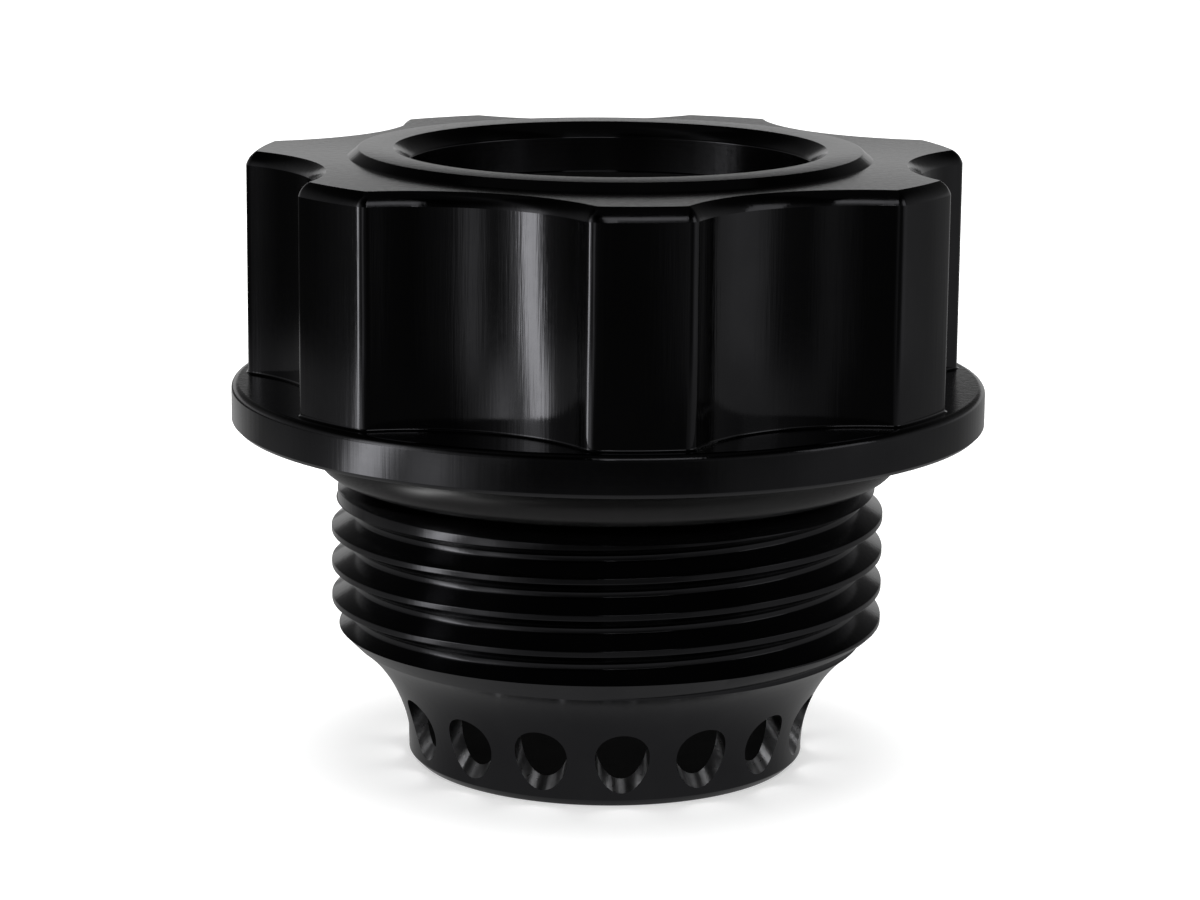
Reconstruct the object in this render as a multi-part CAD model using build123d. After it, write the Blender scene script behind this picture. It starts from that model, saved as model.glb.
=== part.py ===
# Valve cover breather: a short screw-in body with a seven-lobed grip head, a flange, an O-ring under the
# flange, a 1 5/16 inch by 12 thread and a coved skirt with a ring of slanting vent holes. A bore runs down
# from the head to a closed bottom. It stands on its base ring, with the turning axis on +Z and the front
# lobe of the grip towards -Y. Azimuths count from that front towards +X. Millimetres and degrees.

import os
from math import ceil, cos, radians, sin, sqrt, tan

from build123d import *

# Skirt and base ring.
base_radius = 12.0
base_ring_height = 0.6      # straight wall before the cove starts
base_edge = 0.45            # break on the lower outer edge
cove_radius = 8.6           # hollow curve of the skirt
cove_height = 6.857
skirt_wall = 0.6            # wall between the bore and the base ring
base_floor = 1.0            # closed bottom under the bore

# Thread: right-handed, 60 degrees.
thread_radius = 33.34 / 2
thread_pitch = 25.4 / 12
thread_length = 6.983       # at full diameter, above the lead-in chamfer
thread_crest_flat = 0.33
thread_root_flat = 0.33
thread_flank = 30.0         # each flank, from a plane square to the axis
crest_height = 14.785       # height of one crest at the azimuth below
crest_azimuth = 8.4

# The last turn, turned down towards the neck.
relief_drop = 0.37
relief_run = 0.4
relief_flat = 0.65

# Neck and O-ring.
neck_radius = 14.75
ring_section = 2.95
ring_neck_clearance = 0.02
ring_flange_clearance = 0.02
ring_slope_clearance = 0.307  # between the O-ring and the slope under it

# Flange.
flange_thickness = 2.48
flange_lower_edge = 0.25
flange_upper_edge = 0.4
flange_land = 0.2           # flat ring between the head's foot and the flange's upper edge

# Grip head.
head_radius = 22.0
head_height = 13.38
head_edge = 0.7             # rounding along the top outline
head_foot = 0.15            # fillet where the head meets the flange
lobe_count = 7
lobe_azimuth = 4.7
lobe_corner = 0.8           # rounding of the upright corners
scallop_radius = 10.3
scallop_depth = 3.6

# Collar round the bore and the bore's wide mouth.
collar_foot_radius = 15.6
collar_height = 0.5
collar_slope = 0.6          # how far the collar leans in over its height
mouth_step = 0.6            # ledge between the bore and its mouth
mouth_depth = 2.98          # from the collar's top to the ledge
mouth_edge = 0.9            # crowned break round the top of the mouth
crown = 0.08                # how far a crowned edge stands above its chord

# Vent holes, drilled upwards through the skirt into the bore.
vent_count = 16
vent_azimuth = 4.7
vent_radius = 1.6
vent_height = 2.97          # where a hole's axis leaves the skirt
vent_tilt = 50.0            # rise of the axis towards the bore

overcut = 0.2               # how far a cutter stands past the surface that it cuts

# Heights and radii that follow.
chamfer_start = base_ring_height + cove_height
cove_end_radius = base_radius + cove_radius - sqrt(cove_radius**2 - cove_height**2)
chamfer_top = chamfer_start + thread_radius - cove_end_radius
thread_top = chamfer_top + thread_length
relief_radius = thread_radius - relief_drop
relief_bottom = thread_top + relief_run
relief_top = relief_bottom + relief_flat
neck_bottom = relief_top + relief_radius - neck_radius
ring_radius = neck_radius + ring_neck_clearance + ring_section / 2
neck_length = (
    sqrt(2) * (ring_section / 2 + ring_slope_clearance) + ring_flange_clearance - ring_neck_clearance
)
flange_bottom = neck_bottom + neck_length
flange_top = flange_bottom + flange_thickness
flange_radius = head_radius + flange_land + flange_upper_edge
head_top = flange_top + head_height
collar_top = head_top + collar_height
bore_radius = base_radius - skirt_wall
mouth_radius = bore_radius + mouth_step
ledge_height = collar_top - mouth_depth


def turned(azimuth):
    # The usual angle from +X of an azimuth.
    return azimuth - 90.0


def cove_surface(height):
    return base_radius + cove_radius - sqrt(cove_radius**2 - (height - base_ring_height) ** 2)


def turned_body():
    # Skirt, thread blank, neck, flange and the core of the head with its collar, in one profile.
    cove_middle = base_ring_height + cove_height / 2
    with BuildPart() as body:
        with BuildSketch(Plane.XZ):
            with BuildLine():
                Polyline(
                    (0, 0),
                    (base_radius - base_edge, 0),
                    (base_radius, base_edge),
                    (base_radius, base_ring_height),
                )
                ThreePointArc(
                    (base_radius, base_ring_height),
                    (cove_surface(cove_middle), cove_middle),
                    (cove_end_radius, chamfer_start),
                )
                Polyline(
                    (cove_end_radius, chamfer_start),
                    (thread_radius, chamfer_top),
                    (thread_radius, thread_top),
                    (relief_radius, relief_bottom),
                    (relief_radius, relief_top),
                    (neck_radius, neck_bottom),
                    (neck_radius, flange_bottom),
                    (flange_radius - flange_lower_edge, flange_bottom),
                    (flange_radius, flange_bottom + flange_lower_edge),
                    (flange_radius, flange_top - flange_upper_edge),
                )
                SagittaArc(
                    (flange_radius, flange_top - flange_upper_edge),
                    (flange_radius - flange_upper_edge, flange_top),
                    -crown,
                )
                Polyline(
                    (flange_radius - flange_upper_edge, flange_top),
                    (collar_foot_radius, flange_top),
                    (collar_foot_radius, head_top),
                    (collar_foot_radius - collar_slope, collar_top),
                    (0, collar_top),
                    (0, 0),
                )
            make_face()
        revolve(axis=Axis.Z)
    return body.part


def grip_head():
    # A round head with scallops milled into its side, rounded corners and a rounded top outline.
    scallop_centre = head_radius - scallop_depth + scallop_radius
    first_scallop = turned(lobe_azimuth + 180 / lobe_count)
    with BuildPart() as head:
        with BuildSketch(Plane.XY.offset(flange_top)) as outline:
            Circle(head_radius)
            with PolarLocations(scallop_centre, lobe_count, start_angle=first_scallop):
                Circle(scallop_radius, mode=Mode.SUBTRACT)
            fillet(outline.vertices(), lobe_corner)
        extrude(amount=head_height)
        top_outline = head.faces().sort_by(Axis.Z)[-1].outer_wire().edges()
        fillet(top_outline, min(head_edge, 0.9 * lobe_corner))
    return head.part


def bore_cutter():
    # The bore from its floor to the ledge, the wider mouth and the mouth's crowned edge.
    with BuildPart() as cutter:
        with BuildSketch(Plane.XZ):
            with BuildLine():
                Polyline(
                    (0, collar_top + overcut),
                    (0, base_floor),
                    (bore_radius, base_floor),
                    (bore_radius, ledge_height),
                    (mouth_radius, ledge_height),
                    (mouth_radius, collar_top - mouth_edge),
                )
                SagittaArc(
                    (mouth_radius, collar_top - mouth_edge),
                    (mouth_radius + mouth_edge, collar_top),
                    crown,
                )
                Polyline(
                    (mouth_radius + mouth_edge, collar_top),
                    (mouth_radius + mouth_edge, collar_top + overcut),
                    (0, collar_top + overcut),
                )
            make_face()
        revolve(axis=Axis.Z)
    return cutter.part


def vent_cutters():
    # One slanting cylinder for each vent hole, from the air outside the skirt into the bore.
    leave_radius = cove_surface(vent_height)
    reach_in = (leave_radius - bore_radius) / cos(radians(vent_tilt)) + vent_radius * tan(radians(vent_tilt))
    reach_out = vent_radius * (1 + tan(radians(vent_tilt)))
    length = reach_in + overcut + reach_out
    with BuildPart() as cutters:
        with PolarLocations(leave_radius, vent_count, start_angle=turned(vent_azimuth)):
            with Locations(Location((0, 0, vent_height), (0, vent_tilt - 90, 0))):
                with Locations((0, 0, (reach_in + overcut - reach_out) / 2)):
                    Cylinder(vent_radius, length)
    return cutters.part


def groove_turn(section, start, height):
    # One turn of the groove: helical faces between the corners of its section, closed at both ends.
    rails = [Helix(thread_pitch, height, radius, center=(0, 0, start + rise)) for radius, rise in section]
    sides = [
        Face.make_surface_from_curves(rails[i].edge(), rails[(i + 1) % len(rails)].edge())
        for i in range(len(rails))
    ]
    ends = [Face(Wire.make_polygon([rail @ place for rail in rails], close=True)) for place in (0, 1)]
    return Solid(Shell(sides + ends))


def threaded(body):
    # The thread is one right-hand groove, cut turn by turn. It starts in the air below the lead-in chamfer
    # and runs out in the neck.
    slope = tan(radians(thread_flank))
    depth = (thread_pitch - thread_crest_flat - thread_root_flat) / 2 / slope
    root_radius = thread_radius - depth
    stand_out = 0.3 * thread_crest_flat
    half_root = thread_root_flat / 2
    half_mouth = (thread_pitch - thread_crest_flat) / 2 + stand_out
    cut_radius = thread_radius + stand_out / slope
    section = [
        (root_radius, -half_root),
        (root_radius, half_root),
        (cut_radius, half_mouth),
        (cut_radius, -half_mouth),
    ]
    # Height of the groove's middle over +X, and the turns that take it below the chamfer.
    middle = crest_height + thread_pitch * ((90 - crest_azimuth) / 360 + 0.5)
    turns_down = ceil((middle - chamfer_start) / thread_pitch + 0.5)
    height = middle - turns_down * thread_pitch
    while height < neck_bottom:
        body = body - groove_turn(section, height, thread_pitch * 1.02)
        height += thread_pitch
    return body


def foot_edges(body):
    # The head's outline on the flange's upper face; the longest edge there is the flange's own circle.
    at_flange = body.edges().filter_by_position(Axis.Z, flange_top - 0.01, flange_top + 0.01)
    return at_flange.sort_by(SortBy.LENGTH)[:-1]


def cap_body():
    body = threaded(turned_body()) + grip_head()
    body = fillet(foot_edges(body), min(head_foot, 0.75 * flange_land))
    return body - bore_cutter() - vent_cutters()


def seal_ring():
    height = flange_bottom - ring_flange_clearance - ring_section / 2
    return Pos(0, 0, height) * Torus(ring_radius, ring_section / 2)


os.makedirs("parts", exist_ok=True)
export_step(cap_body(), "parts/cap_body.step")
export_step(seal_ring(), "parts/seal_ring.step")
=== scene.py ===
from math import acos, asin, atan2, cos, degrees, pi, radians, sin, sqrt, tan

import bpy
from mathutils import Matrix, Vector


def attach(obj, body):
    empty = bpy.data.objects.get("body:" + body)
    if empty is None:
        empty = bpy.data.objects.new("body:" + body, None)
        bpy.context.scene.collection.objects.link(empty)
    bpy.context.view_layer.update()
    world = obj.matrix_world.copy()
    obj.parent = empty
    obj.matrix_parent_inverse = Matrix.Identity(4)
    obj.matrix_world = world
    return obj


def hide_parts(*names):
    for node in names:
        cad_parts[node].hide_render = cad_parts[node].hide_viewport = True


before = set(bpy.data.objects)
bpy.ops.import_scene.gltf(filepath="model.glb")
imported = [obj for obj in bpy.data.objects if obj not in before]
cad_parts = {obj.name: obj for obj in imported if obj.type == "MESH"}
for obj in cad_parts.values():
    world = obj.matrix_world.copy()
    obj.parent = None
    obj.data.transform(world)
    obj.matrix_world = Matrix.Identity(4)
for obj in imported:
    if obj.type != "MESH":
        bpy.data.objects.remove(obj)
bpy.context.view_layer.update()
print("frame loaded:", sorted(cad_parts))

mm = 0.001


def srgb(hexColour):
    # sRGB hex to the linear values that the shaders work in
    parts = [int(hexColour[i:i + 2], 16) / 255 for i in (1, 3, 5)]
    return [p / 12.92 if p <= 0.04045 else ((p + 0.055) / 1.055) ** 2.4 for p in parts] + [1.0]


def addNode(tree, kind, settings=None, inputs=None, links=None):
    # one node with its settings, its socket values and the sockets that feed it
    node = tree.nodes.new(kind)
    for name, value in (settings or {}).items():
        setattr(node, name, value)
    for name, value in (inputs or {}).items():
        node.inputs[name].default_value = value
    for name, source in (links or {}).items():
        tree.links.new(source, node.inputs[name])
    return node


def newMaterial(name):
    material = bpy.data.materials.new(name)
    material.use_nodes = True
    material.node_tree.nodes.clear()
    return material, material.node_tree


# Camera: the photograph's own viewpoint, 12 degrees above the breather
cameraSpec = {
    "place": (-0.461, -221.06, 65.79),
    "aim": (-0.461, 0.0, 18.805),
    "roll": 0.522,
    "lens": 112.14,
}


def makeCamera():
    data = bpy.data.cameras.new("photoCamera")
    data.lens = cameraSpec["lens"]
    data.sensor_width = 36.0
    data.clip_start = 0.01
    camera = bpy.data.objects.new("photoCamera", data)
    bpy.context.scene.collection.objects.link(camera)
    place = Vector(cameraSpec["place"]) * mm
    look = (Vector(cameraSpec["aim"]) * mm - place).to_track_quat("-Z", "Y")
    roll = Matrix.Rotation(radians(cameraSpec["roll"]), 3, "Z")
    camera.matrix_world = Matrix.Translation(place) @ (look.to_matrix() @ roll).to_4x4()
    bpy.context.scene.camera = camera


makeCamera()
print("camera set")

# Anodised aluminium: a dyed oxide film on bright turned metal, so near black face on and a clear mirror at
# a glance, with the tool's own fine marks showing where a light is mirrored
anodised = {
    "colours": {  # the film's deepest and palest dye; it takes least where a drill has left the metal rough
        "turned": ("#3b3b3d", "#434345"),
        "milled": ("#3b3b3d", "#444446"),
        # painted shade: the deep bore's near black colour stands for the shade inside it
        "paintedShadeBore": ("#0c0c0c", "#141414"),
        "drilled": ("#8e8e90", "#b4b4b6"),
    },
    "dyeSpot": 2.5,  # mm, how wide the film's light and dark clouds are
    "roughness": {
        "turned": (0.1, 0.17), "milled": (0.07, 0.13), "paintedShadeBore": (0.7, 0.85), "drilled": (0.22, 0.38),
    },
    "grit": 0.35,  # mm across the soft patches of polish
    "ringPitch": 0.16,  # mm; the real feed of about 0.06 mm is too fine to show
    "ringHeight": 0.0016,  # mm
    "millPitch": 0.18,  # mm, the cutter's upright marks in the scallops
    "millHeight": 0.006,
    "drillPitch": 0.25,
    "drillHeight": 0.01,
    "chatterPitch": 0.4,  # mm, the faint upright waves that the tool's chatter leaves on turned faces
    "chatterHeight": 0.006,
    # painted shade: the deep bore is drawn dull and near black, mirroring nothing, to stand for the shade
    # inside it
    "sheen": {"turned": 1.0, "milled": 1.0, "paintedShadeBore": 0.0, "drilled": 1.0},
    "stretchAlong": 0.04,  # how much longer a mark is than it is wide, as a share
    "stretch": {
        "turned": 0.9, "paintedShadeBore": 0.5, "milled": 0.2, "drilled": 0.6,
    },  # how far the marks draw a highlight out
}


def makeAnodised(name, spec, marks):
    # marks is turned, milled, drilled or the deep bore's set, which is painted shade, and says which way the
    # tool's lines run
    material, tree = newMaterial(name)
    where = addNode(tree, "ShaderNodeTexCoord")
    inMm = addNode(
        tree, "ShaderNodeVectorMath", {"operation": "SCALE"}, {"Scale": 1000.0},
        {0: where.outputs["Object"]},
    )
    split = addNode(tree, "ShaderNodeSeparateXYZ", links={0: inMm.outputs[0]})
    flat = addNode(tree, "ShaderNodeCombineXYZ", links={"X": split.outputs["X"], "Y": split.outputs["Y"]})
    radius = addNode(tree, "ShaderNodeVectorMath", {"operation": "LENGTH"}, links={0: flat.outputs[0]})
    drawn = addNode(
        tree, "ShaderNodeVectorMath", {"operation": "MULTIPLY"}, {1: (1, 1, spec["stretchAlong"])},
        {0: inMm.outputs[0]},
    )
    rings = addNode(
        tree, "ShaderNodeCombineXYZ", links={"X": radius.outputs["Value"], "Y": split.outputs["Z"]},
    )
    sets = {
        "turned": ((rings, "ring"), (drawn, "chatter")),
        "milled": ((drawn, "mill"), (drawn, "chatter")),
        "paintedShadeBore": ((rings, "ring"), (drawn, "chatter")),
        "drilled": ((rings, "drill"), (drawn, "chatter")),
    }[marks]
    bump = None
    for across, kind in sets:
        lines = addNode(
            tree, "ShaderNodeTexNoise",
            inputs={"Scale": 1 / spec[kind + "Pitch"], "Detail": 3.0, "Roughness": 0.6},
            links={"Vector": across.outputs[0]},
        )
        under = {} if bump is None else {"Normal": bump.outputs[0]}
        bump = addNode(
            tree, "ShaderNodeBump", inputs={"Distance": spec[kind + "Height"] * mm, "Strength": 1.0},
            links={"Height": lines.outputs["Fac"], **under},
        )
    clouds = addNode(
        tree, "ShaderNodeTexNoise", inputs={"Scale": 1 / spec["dyeSpot"], "Detail": 2.0},
        links={"Vector": inMm.outputs[0]},
    )
    colour = addNode(
        tree, "ShaderNodeMix", {"data_type": "RGBA"},
        {6: srgb(spec["colours"][marks][0]), 7: srgb(spec["colours"][marks][1])},
        {0: clouds.outputs["Fac"]},
    )
    polish = addNode(
        tree, "ShaderNodeTexNoise", inputs={"Scale": 1 / spec["grit"], "Detail": 3.0},
        links={"Vector": inMm.outputs[0]},
    )
    rough = addNode(
        tree, "ShaderNodeMapRange",
        inputs={"To Min": spec["roughness"][marks][0], "To Max": spec["roughness"][marks][1]},
        links={0: polish.outputs["Fac"]},
    )
    along = addNode(tree, "ShaderNodeTangent", {"direction_type": "RADIAL", "axis": "Z"})
    shader = addNode(tree, "ShaderNodeBsdfPrincipled", inputs={
        "Metallic": spec["sheen"][marks],
        "Specular IOR Level": 0.5 * spec["sheen"][marks],
        "Anisotropic": spec["stretch"][marks],
        "Anisotropic Rotation": 0.25,
    }, links={
        "Base Color": colour.outputs[2],
        "Roughness": rough.outputs[0],
        "Normal": bump.outputs[0],
        "Tangent": along.outputs[0],
    })
    addNode(tree, "ShaderNodeOutputMaterial", links={"Surface": shader.outputs["BSDF"]})
    return material


# Nitrile rubber: moulded smooth, so black with a broad soft sheen
nitrile = {
    "colour": "#0f0f0f",
    "colourBloom": "#181818",
    "bloomSpot": 1.6,  # mm, faint grey clouds where the wax has come up
    "roughness": (0.2, 0.28),
    "grain": 0.12,  # mm, the mould's fine stipple, drawn twice as coarse as it is
    "grainHeight": 0.0015,
}


def makeNitrile(name, spec):
    material, tree = newMaterial(name)
    where = addNode(tree, "ShaderNodeTexCoord")
    inMm = addNode(
        tree, "ShaderNodeVectorMath", {"operation": "SCALE"}, {"Scale": 1000.0},
        {0: where.outputs["Object"]},
    )
    clouds = addNode(
        tree, "ShaderNodeTexNoise", inputs={"Scale": 1 / spec["bloomSpot"], "Detail": 3.0},
        links={"Vector": inMm.outputs[0]},
    )
    colour = addNode(
        tree, "ShaderNodeMix", {"data_type": "RGBA"},
        {6: srgb(spec["colour"]), 7: srgb(spec["colourBloom"])}, {0: clouds.outputs["Fac"]},
    )
    rough = addNode(
        tree, "ShaderNodeMapRange", inputs={"To Min": spec["roughness"][0], "To Max": spec["roughness"][1]},
        links={0: clouds.outputs["Fac"]},
    )
    stipple = addNode(
        tree, "ShaderNodeTexNoise", inputs={"Scale": 1 / spec["grain"], "Detail": 2.0},
        links={"Vector": inMm.outputs[0]},
    )
    bump = addNode(
        tree, "ShaderNodeBump", inputs={"Distance": spec["grainHeight"] * mm, "Strength": 1.0},
        links={"Height": stipple.outputs["Fac"]},
    )
    shader = addNode(tree, "ShaderNodeBsdfPrincipled", links={
        "Base Color": colour.outputs[2],
        "Roughness": rough.outputs[0],
        "Normal": bump.outputs[0],
    })
    addNode(tree, "ShaderNodeOutputMaterial", links={"Surface": shader.outputs["BSDF"]})
    return material


# Breather body: one turned and milled piece, radii and heights in millimetres
body = {
    "baseRadius": 12.0, "baseRing": 0.6, "baseEdge": 0.45, "floor": 1.0,
    "coveRadius": 8.6, "coveHeight": 6.857,
    "threadRadius": 16.67, "pitch": 25.4 / 12, "threadTop": 15.7,
    "crestFlat": 0.33, "rootFlat": 0.33, "crestHeight": 14.785, "crestAzimuth": 8.4,
    "crestRound": 0.05, "rootRound": 0.22,
    "reliefRadius": 16.3, "reliefLow": 16.1, "reliefHigh": 16.75,
    "neckRadius": 14.75, "neckLow": 18.3,
    "flangeLow": 20.8203, "flangeTop": 23.3003, "flangeRadius": 22.6,
    "flangeEdgeLow": 0.25, "flangeEdgeHigh": 0.4, "flangeCrown": 0.112,
    "headRadius": 21.74, "headTop": 36.72, "headFoot": 0.15,
    "headEdgeIn": 0.65, "headEdgeDown": 0.8, "headCrown": 0.11,
    "lobes": 7, "lobeAzimuth": 4.75, "lobeCorner": 0.85, "scallopRadius": 10.72, "scallopCentre": 29.02,
    "collarFoot": 15.6, "collarRadius": 15.0, "top": 37.1807,
    "mouthRadius": 12.0, "mouthEdge": 0.9, "mouthCrown": 0.08, "mouthLip": 0.06,
    "ledge": 34.2007, "boreRadius": 11.4,
    "paintedShadeDepth": 22.0,  # below this the bore is drawn in painted shade, dull and near black
    "vents": 16, "ventAzimuth": 4.7, "ventRadius": 1.6, "ventHeight": 2.97, "ventTilt": 50.0,
    "collarRound": 0.2,
    "neckRound": 0.12, "glandRound": 0.1, "boreRound": 0.1, "hub": 0.5,
    "threadFlank": 30.0, "grooveOver": 0.06, "groovePast": 0.25, "grooveBelow": 1.25, "grooveShort": 1.3,
    "ventReach": (-3.6, 4.2),  # mm along a drill, either side of where it leaves the skirt
    "crease": 24.0, "seam": 1.5,  # degrees past which an edge stays crisp, inside a surface and between two
    "edgeRound": 0.05,  # the lathe tool's own tiny break, which catches the light on every edge
    "columns": (12, 7, 28, 7),  # along a lobe, its corner, a scallop and the next corner
    "coveRows": 26,
}


def turnedBy(arm, a):
    return Vector((arm.x * cos(a) - arm.y * sin(a), arm.x * sin(a) + arm.y * cos(a)))


def roundCorners(corners, steps=3):
    # a line of (radius, height, rounding) corners, with an arc at each rounded one
    points = []
    for i, (r, z, rounding) in enumerate(corners):
        here = Vector((r, z))
        if rounding == 0:
            points.append(here)
            continue
        back = (Vector(corners[i - 1][:2]) - here).normalized()
        ahead = (Vector(corners[i + 1][:2]) - here).normalized()
        opening = back.angle(ahead)
        reach = rounding / tan(opening / 2)
        centre = here + (back + ahead).normalized() * (rounding / sin(opening / 2))
        first = here + back * reach - centre
        turn = -first.angle_signed(here + ahead * reach - centre)
        for step in range(steps + 1):
            points.append(centre + turnedBy(first, turn * step / steps))
    return points


def crowned(start, end, rise, steps=8):
    # an arc that stands above its chord, with the metal on its left
    start, end = Vector(start), Vector(end)
    along = end - start
    outwards = Vector((along.y, -along.x)).normalized()
    radius = (along.length / 2) ** 2 / (2 * rise) + rise / 2
    centre = (start + end) / 2 - outwards * (radius - rise)
    first = start - centre
    whole = 2 * atan2(along.length / 2, radius - rise)
    angles = [whole * step / steps for step in range(steps + 1)]
    return [centre + turnedBy(first, a) for a in angles]


def headOutline(spec, inset):
    # the head's outline at an inset from its full size: a lobe, a corner, a scallop and a corner in turn
    hub = spec["headRadius"] - spec["lobeCorner"]
    far = spec["scallopCentre"]
    reach = spec["scallopRadius"] + spec["lobeCorner"]
    away = acos((hub ** 2 + far ** 2 - reach ** 2) / (2 * hub * far))
    swing = acos((reach ** 2 + far ** 2 - hub ** 2) / (2 * reach * far))
    onLobe, onCorner, onScallop, onNext = spec["columns"]
    half = pi / spec["lobes"] - away
    cornerRadius = spec["lobeCorner"] - inset

    def spoke(centre, angle, length):
        return centre + Vector((cos(angle), sin(angle))) * length

    outline = []
    for k in range(spec["lobes"]):
        middle = radians(spec["lobeAzimuth"] - 90 + 360 * k / spec["lobes"])
        notch = middle + pi / spec["lobes"]
        middleOfHole = spoke(Vector((0, 0)), notch, far)
        for i in range(onLobe):
            along = middle - half + 2 * half * i / onLobe
            outline.append(spoke(Vector((0, 0)), along, spec["headRadius"] - inset))
        first = spoke(Vector((0, 0)), notch - away, hub)
        sweep = swing + away  # from the lobe's own direction to the scallop's centre
        for i in range(onCorner):
            outline.append(spoke(first, notch - away + sweep * i / onCorner, cornerRadius))
        for i in range(onScallop):
            along = notch + pi + swing - 2 * swing * i / onScallop
            outline.append(spoke(middleOfHole, along, spec["scallopRadius"] + inset))
        last = spoke(Vector((0, 0)), notch + away, hub)
        for i in range(onNext):
            outline.append(spoke(last, notch + away - sweep * (onNext - i) / onNext, cornerRadius))
    return outline


def bodySurfaces(spec):
    # the body's skin as a list of surfaces, each a list of rings, from the base's middle up and over into the
    # bore
    count = spec["lobes"] * sum(spec["columns"])
    start = headOutline(spec, 0)[0]
    turn = atan2(start.y, start.x)

    def circle(r, z):
        angles = [turn + 2 * pi * j / count for j in range(count)]
        return [Vector((r * cos(a), r * sin(a), z)) for a in angles]

    def shaped(inset, z):
        return [Vector((p.x, p.y, z)) for p in headOutline(spec, inset)]

    coveTop = spec["baseRing"] + spec["coveHeight"]
    coveMiddle = spec["baseRadius"] + spec["coveRadius"]
    opening = asin(spec["coveHeight"] / spec["coveRadius"])
    coveAngles = [opening * i / spec["coveRows"] for i in range(spec["coveRows"] + 1)]
    cove = [
        (coveMiddle - spec["coveRadius"] * cos(a), spec["baseRing"] + spec["coveRadius"] * sin(a))
        for a in coveAngles
    ]
    coveEnd = cove[-1][0]
    tiny = spec["edgeRound"]
    lip = spec["mouthLip"]
    foot = spec["headFoot"]
    footSteps = 5
    faces = [
        roundCorners([
            (spec["hub"], 0, 0), (
                spec["baseRadius"] - spec["baseEdge"], 0, tiny,
            ), (spec["baseRadius"], spec["baseEdge"], tiny),
            (spec["baseRadius"], spec["baseRing"], 0),
        ]),
        cove,
        roundCorners([
            (coveEnd, coveTop, 0), (spec["threadRadius"], coveTop + spec["threadRadius"] - coveEnd, tiny),
            (
                spec["threadRadius"], spec["threadTop"], tiny,
            ), (spec["reliefRadius"], spec["reliefLow"], tiny),
            (spec["reliefRadius"], spec["reliefHigh"], tiny), (
                spec["neckRadius"], spec["neckLow"], spec["neckRound"],
            ),
            (spec["neckRadius"], spec["flangeLow"], spec["glandRound"]),
            (spec["flangeRadius"] - spec["flangeEdgeLow"], spec["flangeLow"], tiny),
            (spec["flangeRadius"], spec["flangeLow"] + spec["flangeEdgeLow"], tiny),
            (spec["flangeRadius"], spec["flangeTop"] - spec["flangeEdgeHigh"], 0),
        ]),
        crowned(
            (spec["flangeRadius"], spec["flangeTop"] - spec["flangeEdgeHigh"]),
            (spec["flangeRadius"] - spec["flangeEdgeHigh"], spec["flangeTop"]), spec["flangeCrown"],
        ),
    ]
    surfaces = [[circle(r, z) for r, z in line] for line in faces]
    landEdge = surfaces[-1][-1]
    footAngles = [pi / 2 * i / footSteps for i in range(footSteps + 1)]
    footRings = [shaped(-foot * (1 - sin(a)), spec["flangeTop"] + foot * (1 - cos(a))) for a in footAngles]
    edge = crowned(
        (0, spec["headTop"] - spec["headEdgeDown"]), (-spec["headEdgeIn"], spec["headTop"]),
        spec["headCrown"],
    )
    edgeRings = [shaped(-x, z) for x, z in edge]
    collarFoot = circle(spec["collarFoot"], spec["headTop"])
    surfaces += [
        [landEdge, footRings[0]],
        footRings,
        [footRings[-1], edgeRings[0]],
        edgeRings,
        [edgeRings[-1], collarFoot],
    ]
    inside = [
        roundCorners([
            (spec["collarFoot"], spec["headTop"], 0), (
                spec["collarRadius"], spec["top"], spec["collarRound"],
            ),
            (spec["mouthRadius"] + spec["mouthEdge"], spec["top"], 0),
        ]),
        crowned(
            (spec["mouthRadius"] + spec["mouthEdge"], spec["top"]),
            (spec["mouthRadius"] + lip, spec["top"] - spec["mouthEdge"] + lip), spec["mouthCrown"],
        ),
        roundCorners([
            (spec["mouthRadius"] + lip, spec["top"] - spec["mouthEdge"] + lip, 0),
            (
                spec["mouthRadius"], spec["top"] - spec["mouthEdge"], 2 * lip,
            ), (spec["mouthRadius"], spec["ledge"], tiny),
            (spec["boreRadius"], spec["ledge"], tiny), (
                spec["boreRadius"], spec["floor"], spec["boreRound"],
            ), (spec["hub"], spec["floor"], 0),
        ]),
    ]
    return surfaces + [[circle(r, z) for r, z in line] for line in inside], turn


def addMesh(name, points, faces, marks):
    # a closed mesh with its faces' surface numbers, in metres
    mesh = bpy.data.meshes.new(name)
    mesh.from_pydata([p * mm for p in points], [], faces)
    surface = mesh.attributes.new("surface", "INT", "FACE")
    surface.data.foreach_set("value", marks)
    piece = bpy.data.objects.new(name, mesh)
    bpy.context.scene.collection.objects.link(piece)
    return piece


def skinBody(spec):
    surfaces, turn = bodySurfaces(spec)
    count = len(surfaces[0][0])
    points = [Vector((0, 0, 0))]
    faces, marks = [], []
    last = None
    for number, rings in enumerate(surfaces):
        for i, ring in enumerate(rings):
            if i == 0 and last is not None:
                continue  # the ring that it shares with the surface before
            here = len(points)
            points.extend(ring)
            for j in range(count):
                k = (j + 1) % count
                if last is None:
                    faces.append((0, here + k, here + j))
                else:
                    faces.append((last + j, last + k, here + k, here + j))
                marks.append(number)
            last = here
    points.append(Vector((0, 0, spec["floor"])))
    for j in range(count):
        faces.append((last + j, last + (j + 1) % count, len(points) - 1))
        marks.append(len(surfaces) - 1)
    return addMesh("breatherBody", points, faces, marks), turn, count


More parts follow.
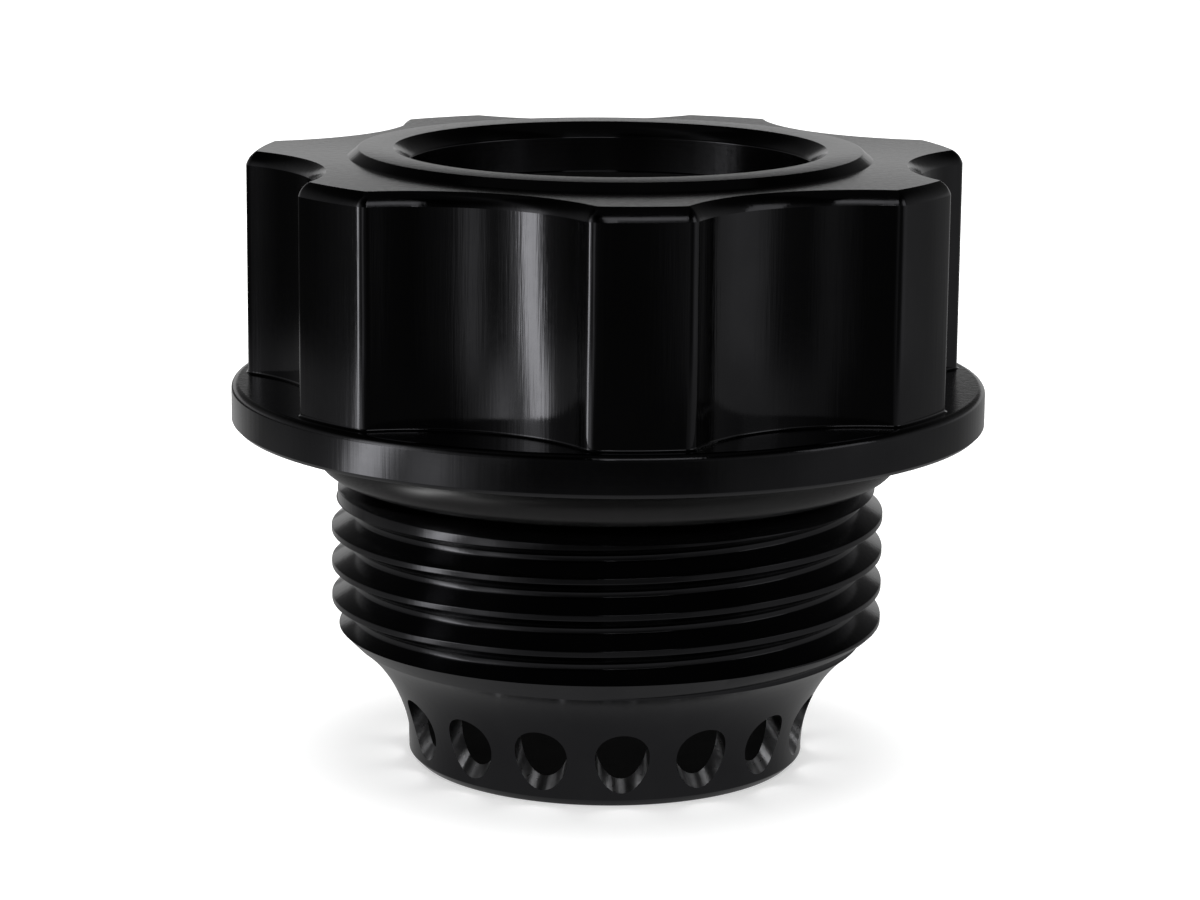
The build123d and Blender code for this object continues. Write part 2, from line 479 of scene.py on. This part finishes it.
def grooveCutter(spec, turn, count):
    # the thread's groove as one long helical solid, its root and its crests' edges rounded
    slope = tan(radians(spec["threadFlank"]))
    depth = (spec["pitch"] - spec["crestFlat"] - spec["rootFlat"]) / 2 / slope
    root = spec["threadRadius"] - depth
    mouth = (spec["pitch"] - spec["crestFlat"]) / 2
    past = spec["threadRadius"] + spec["groovePast"]
    over = mouth + spec["grooveOver"]
    half = roundCorners([
        (root, 0, 0), (root, spec["rootFlat"] / 2, spec["rootRound"] * 0.5),
        (spec["threadRadius"], mouth, spec["crestRound"]), (spec["threadRadius"], over, 0),
    ], 4)
    section = [Vector((past, -over))] + [
        Vector((p.x, -p.y))
        for p in reversed(half)
    ] + half[1:] + [Vector((past, over))]
    perTurn = count // 2
    atStart = spec["crestHeight"] + spec["pitch"] * ((degrees(turn) + 90 - spec["crestAzimuth"]) / 360 + 0.5)
    lowest = spec["baseRing"] + spec["coveHeight"] - spec["grooveBelow"]
    low = round((lowest - atStart) / spec["pitch"] * perTurn)
    high = round((spec["flangeLow"] - spec["grooveShort"] - atStart) / spec["pitch"] * perTurn)
    points, faces = [], []
    for j in range(low, high + 1):
        a = turn + 2 * pi * j / perTurn
        middle = atStart + spec["pitch"] * j / perTurn
        points.extend(Vector((p.x * cos(a), p.x * sin(a), middle + p.y)) for p in section)
    size = len(section)
    for j in range(high - low):
        for i in range(size):
            k = (i + 1) % size
            faces.append((j * size + i, j * size + k, (j + 1) * size + k, (j + 1) * size + i))
    faces.append(tuple(reversed(range(size))))
    faces.append(tuple((high - low) * size + i for i in range(size)))
    return addMesh("threadGroove", points, faces, [100] * len(faces))


def ventCutter(spec, sides=56):
    # the ring of slanting drills
    coveMiddle = spec["baseRadius"] + spec["coveRadius"]
    leave = coveMiddle - sqrt(spec["coveRadius"] ** 2 - (spec["ventHeight"] - spec["baseRing"]) ** 2)
    points, faces, marks = [], [], []
    for v in range(spec["vents"]):
        a = radians(spec["ventAzimuth"] - 90 + 360 * v / spec["vents"])
        out = Vector((cos(a), sin(a), 0))
        tilt = radians(spec["ventTilt"])
        axis = Vector((-out.x * cos(tilt), -out.y * cos(tilt), sin(tilt)))
        side = Vector((-out.y, out.x, 0))
        up = axis.cross(side)
        middle = out * leave + Vector((0, 0, spec["ventHeight"]))
        base = len(points)
        for along in spec["ventReach"]:
            for s in range(sides):
                b = 2 * pi * s / sides
                points.append(middle + axis * along + (side * cos(b) + up * sin(b)) * spec["ventRadius"])
        for s in range(sides):
            t = (s + 1) % sides
            faces.append((base + s, base + t, base + sides + t, base + sides + s))
        faces.append(tuple(base + s for s in reversed(range(sides))))
        faces.append(tuple(base + sides + s for s in range(sides)))
        marks.extend([200 + v] * (sides + 2))
    return addMesh("ventDrills", points, faces, marks)


def cutAway(piece, cutter):
    modifier = piece.modifiers.new("cut", "BOOLEAN")
    modifier.operation = "DIFFERENCE"
    modifier.solver = "MANIFOLD"
    modifier.object = cutter
    graph = bpy.context.evaluated_depsgraph_get()
    mesh = bpy.data.meshes.new_from_object(piece.evaluated_get(graph))
    piece.modifiers.clear()
    piece.data = mesh
    bpy.data.objects.remove(cutter)


def crispEdges(piece, spec):
    # smooth inside a surface and crisp where two surfaces meet
    mesh = piece.data
    surface = [item.value for item in mesh.attributes["surface"].data]
    sides = {}
    for face in mesh.polygons:
        for key in face.edge_keys:
            sides.setdefault(key, []).append(face.index)
    mesh.shade_smooth()
    normals = [face.normal.copy() for face in mesh.polygons]
    for edge in mesh.edges:
        pair = sides[edge.key]
        if len(pair) != 2:
            edge.use_edge_sharp = True
            continue
        first, second = pair
        angle = normals[first].angle(normals[second], 0)
        between = surface[first] != surface[second]
        edge.use_edge_sharp = angle > radians(spec["crease"]) or (between and angle > radians(spec["seam"]))


def makeBody(spec):
    piece, turn, count = skinBody(spec)
    cutAway(piece, grooveCutter(spec, turn, count))
    print("body after the thread:", len(piece.data.polygons))
    cutAway(piece, ventCutter(spec))
    print("body after the vents:", len(piece.data.polygons))
    crispEdges(piece, spec)
    piece.data.materials.clear()
    for marks in ("turned", "milled", "drilled", "paintedShadeBore"):
        piece.data.materials.append(makeAnodised(marks + "Anodised", anodised, marks))
    surface = piece.data.attributes["surface"].data
    for face in piece.data.polygons:
        number = surface[face.index].value
        # painted shade: the bore's faces below this depth get the dull near black material
        inPaintedShade = number == 11 and face.center.z < spec["paintedShadeDepth"] * mm
        face.material_index = 2 if number >= 200 else 3 if inPaintedShade else 1 if number in (5, 6) else 0
    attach(piece, "root")
    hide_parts("cap_body")
    return piece


# O-ring: a plain round section lying under the flange
ring = {
    "section": 2.95,
    "middle": 16.245,
    "height": 19.3253,
    "round": 384,
    "across": 56,
}


def makeRing(spec):
    points, faces = [], []
    half = spec["section"] / 2
    for i in range(spec["round"]):
        a = 2 * pi * i / spec["round"]
        for j in range(spec["across"]):
            b = 2 * pi * j / spec["across"]
            r = spec["middle"] + half * cos(b)
            points.append(Vector((r * cos(a), r * sin(a), spec["height"] + half * sin(b))))
    for i in range(spec["round"]):
        for j in range(spec["across"]):
            i2, j2 = (i + 1) % spec["round"], (j + 1) % spec["across"]
            here, ahead = i * spec["across"], i2 * spec["across"]
            faces.append((here + j, ahead + j, ahead + j2, here + j2))
    piece = addMesh("sealRing", points, faces, [0] * len(faces))
    piece.data.shade_smooth()
    piece.data.materials.append(makeNitrile("nitrileRubber", nitrile))
    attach(piece, "root")
    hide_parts("seal_ring")
    return piece


makeBody(body)
makeRing(ring)
print("body and O-ring made")

# Studio: a white paper floor with the part's soft shadow, and a surround that the gloss mirrors
studio = {
    "floorSize": 3000.0,
    "floorGlow": 0.53,
    "floorColour": "#c8c8c8",
    "peak": 6.0,
    "paintedShadeUnder": 0.25,  # painted shade: the dark level that the gloss mirrors of the paper close under the part
    "nearEdge": (30.0, 95.0),  # mm from the axis, where that gives way to the lit table
    "farEdge": (144.0, 170.0),  # and where the table ends
    # brightness by azimuth, 0 in front and 90 at the right: the lit table, what lies past its edge, and the
    # air above
    "table": (
        (
            -180, 0.46,
        ), (-168, 0.46), (-156, 0.36), (-144, 0.38), (-132, 0.29), (-118, 0.15), (-104, 0.2), (-92, 0.19),
        (
            -84, 0.25,
        ), (-78, 0.5), (-74, 3.0), (-70, 5.0), (-65, 4.0), (-61, 1.2), (-57, 0.5), (-52, 0.85), (-46, 1.0),
        (-40, 0.5), (-34, 0.2), (-26, 0.06), (
            -18, 0.035,
        ), (0, 0.035), (24, 0.03), (34, 0.11), (48, 0.15), (60, 0.22),
        (90, 0.21), (120, 0.15), (144, 0.22), (156, 0.24), (168, 0.7), (180, 0.46),
    ),
    "beyond": (
        (-180, 0.3), (
            -150, 0.03,
        ), (-120, 0.02), (-100, 0.03), (-90, 0.06), (-77, 0.12), (-72.5, 0.3), (-70, 4.8),
        (
            -61.5, 5.2,
        ), (-59, 1.2), (-55, 0.5), (-50, 0.18), (-44, 0.07), (-39, 0.14), (-34, 0.4), (-30, 0.5), (-26, 0.28),
        (
            -20, 0.08,
        ), (0, 0.025), (12, 0.03), (30, 0.12), (42, 0.04), (56, 0.05), (63, 0.12), (69, 0.26), (76, 0.34),
        (90, 0.33), (98, 0.25), (112, 0.16), (130, 0.2), (168, 0.4), (180, 0.4),
    ),
    "air": (
        (
            -180, 0.03,
        ), (-150, 0.05), (-120, 0.2), (-96, 0.2), (-84, 0.34), (-78, 2.0), (-70, 2.4), (-62, 1.0), (-50, 0.3),
        (
            -34, 0.12,
        ), (-20, 0.05), (20, 0.05), (36, 0.12), (60, 0.22), (110, 0.22), (140, 0.1), (160, 0.03), (180, 0.03),
    ),
    # the white paper that hangs behind and ends a little above the horizon
    "paper": (
        (-180, 0.47), (-150, 0.4), (-128, 0.2), (-110, 0.0), (110, 0.0), (128, 0.2), (150, 0.4),
        (180, 0.47),
    ),
    "paperTop": ((-90, 1.0), (8.6, 1.0), (10.0, 0.4), (12, 0.1), (20, 0.03), (90, 0.0)),
    # the share of the air's brightness by height above the horizon
    "upright": ((-90, 1.0), (12, 1.0), (20, 0.7), (35, 0.1), (50, 0.04), (90, 0.02)),
}


def makeRamp(tree, source, stops):
    ramp = addNode(tree, "ShaderNodeValToRGB", links={0: source})
    elements = ramp.color_ramp.elements
    elements[0].position = stops[0][0]
    elements[1].position = stops[-1][0]
    for place, level in stops[1:-1]:
        elements.new(place)
    for element, (place, level) in zip(elements, stops):
        element.color = [level] * 3 + [1.0]
    return ramp


def makeRound(tree, split, stops):
    # the brightness that a list of (azimuth, level) stops gives towards the point or direction in split
    front = addNode(tree, "ShaderNodeMath", {"operation": "MULTIPLY"}, {1: -1.0}, {0: split.outputs["Y"]})
    turn = addNode(
        tree, "ShaderNodeMath", {"operation": "ARCTAN2"},
        links={0: split.outputs["X"], 1: front.outputs[0]},
    )
    share = addNode(
        tree, "ShaderNodeMapRange", inputs={"From Min": -pi, "From Max": pi}, links={0: turn.outputs[0]},
    )
    ramp = makeRamp(
        tree, share.outputs[0], [((azimuth + 180) / 360, level / studio["peak"])
        for azimuth, level in stops]
    )
    return addNode(
        tree, "ShaderNodeMath", {"operation": "MULTIPLY"}, {1: studio["peak"]}, {0: ramp.outputs[0]},
    )


def makeFloor():
    half = studio["floorSize"] / 2 * mm
    mesh = bpy.data.meshes.new("floor")
    mesh.from_pydata(
        [(-half, -half, 0), (half, -half, 0), (half, half, 0), (-half, half, 0)], [], [(0, 1, 2, 3)],
    )
    floor = bpy.data.objects.new("floor", mesh)
    bpy.context.scene.collection.objects.link(floor)
    material, tree = newMaterial("paperFloor")
    rays = addNode(tree, "ShaderNodeLightPath")
    where = addNode(tree, "ShaderNodeTexCoord")
    split = addNode(tree, "ShaderNodeSeparateXYZ", links={0: where.outputs["Object"]})
    away = addNode(
        tree, "ShaderNodeVectorMath", {"operation": "LENGTH"}, links={0: where.outputs["Object"]},
    )
    table = makeRound(tree, split, studio["table"])
    beyond = makeRound(tree, split, studio["beyond"])
    level = None
    # the paper close under the part glows darker for glossy rays: painted shade
    for edge, inside, outside in (("nearEdge", studio["paintedShadeUnder"], table), ("farEdge", None, beyond)):
        share = addNode(tree, "ShaderNodeMapRange", {"interpolation_type": "SMOOTHSTEP"}, {
            "From Min": studio[edge][0] * mm, "From Max": studio[edge][1] * mm,
        }, {0: away.outputs["Value"]})
        fixed = {} if inside is None else {2: inside}
        linked = {0: share.outputs[0], 3: outside.outputs[0]}
        if inside is None:
            linked[2] = level.outputs[0]
        level = addNode(tree, "ShaderNodeMix", {"data_type": "FLOAT"}, fixed, linked)
    # painted light and shade: for glossy rays the floor glows with the lit table by azimuth, and darker close
    # under the part
    mirrored = addNode(
        tree, "ShaderNodeEmission", inputs={"Color": (1, 1, 1, 1)}, links={"Strength": level.outputs[0]},
    )
    paper = addNode(tree, "ShaderNodeBsdfDiffuse", inputs={"Color": srgb(studio["floorColour"])})
    glow = addNode(
        tree, "ShaderNodeEmission", inputs={"Color": (1, 1, 1, 1), "Strength": studio["floorGlow"]},
    )
    both = addNode(tree, "ShaderNodeAddShader", links={0: paper.outputs[0], 1: glow.outputs[0]})
    seen = addNode(
        tree, "ShaderNodeMixShader",
        links={0: rays.outputs["Is Camera Ray"], 1: paper.outputs[0], 2: both.outputs[0]},
    )
    mix = addNode(
        tree, "ShaderNodeMixShader",
        links={0: rays.outputs["Is Glossy Ray"], 1: seen.outputs[0], 2: mirrored.outputs[0]},
    )
    addNode(tree, "ShaderNodeOutputMaterial", links={"Surface": mix.outputs[0]})
    mesh.materials.append(material)


def makeWorld():
    # the air is brightest at the left, pale paper hangs behind, and it is dark overhead
    world = bpy.data.worlds.new("studioWorld")
    bpy.context.scene.world = world
    world.use_nodes = True
    tree = world.node_tree
    tree.nodes.clear()
    rays = addNode(tree, "ShaderNodeLightPath")
    where = addNode(tree, "ShaderNodeTexCoord")
    split = addNode(tree, "ShaderNodeSeparateXYZ", links={0: where.outputs["Generated"]})
    lift = addNode(
        tree, "ShaderNodeMapRange", inputs={"From Min": -1.0, "From Max": 1.0},
        links={0: split.outputs["Z"]},
    )
    parts = []
    for around, upwards in (("air", "upright"), ("paper", "paperTop")):
        side = makeRound(tree, split, studio[around])
        stops = [((sin(radians(height)) + 1) / 2, share) for height, share in studio[upwards]]
        share = makeRamp(tree, lift.outputs[0], stops)
        both = {0: side.outputs[0], 1: share.outputs[0]}
        parts.append(addNode(tree, "ShaderNodeMath", {"operation": "MULTIPLY"}, links=both))
    level = addNode(
        tree, "ShaderNodeMath", {"operation": "ADD"},
        links={0: parts[0].outputs[0], 1: parts[1].outputs[0]},
    )
    seen = addNode(tree, "ShaderNodeBackground", inputs={"Color": (1, 1, 1, 1)})
    lit = addNode(
        tree, "ShaderNodeBackground", inputs={"Color": (1, 1, 1, 1)}, links={"Strength": level.outputs[0]},
    )
    mix = addNode(
        tree, "ShaderNodeMixShader",
        links={0: rays.outputs["Is Camera Ray"], 1: lit.outputs[0], 2: seen.outputs[0]},
    )
    addNode(tree, "ShaderNodeOutputWorld", links={"Surface": mix.outputs[0]})


# the ceiling, the front and right softboxes and the spark are mirrored by the gloss, and paperLight lights
# the floor and the rubber without being mirrored
lamps = {
    "ceiling": {"place": (0.0, 0.0, 900.0), "size": (900.0, 900.0), "power": 0.06, "mirrored": True},
    "frontSoftbox": {
        "place": (131.0, -527.0, 492.0), "size": (340.0, 200.0), "power": 0.26, "mirrored": True,
    },
    "rightSoftbox": {
        "place": (525.0, -141.0, 274.0), "size": (250.0, 200.0), "power": 0.12, "mirrored": True,
    },
    "spark": {"place": (4.0, -560.0, 330.0), "size": (24.0, 24.0), "power": 0.009, "mirrored": True},
    "paperLight": {"place": (0.0, -1.0, 700.0), "size": (1000.0, 1000.0), "power": 16.0, "mirrored": False},
}


def makeLamp(name, spec):
    data = bpy.data.lights.new(name, "AREA")
    data.shape = "RECTANGLE"
    data.size = spec["size"][0] * mm
    data.size_y = spec["size"][1] * mm
    data.energy = spec["power"]
    lamp = bpy.data.objects.new(name, data)
    lamp.location = Vector(spec["place"]) * mm
    lamp.rotation_euler = (Vector((0, 0, 20 * mm)) - lamp.location).to_track_quat("-Z", "Y").to_euler()
    lamp.visible_glossy = spec["mirrored"]
    bpy.context.scene.collection.objects.link(lamp)


makeFloor()
makeWorld()
for lampName, lampSpec in lamps.items():
    makeLamp(lampName, lampSpec)
bpy.context.scene.view_settings.view_transform = "Standard"
print("studio set")
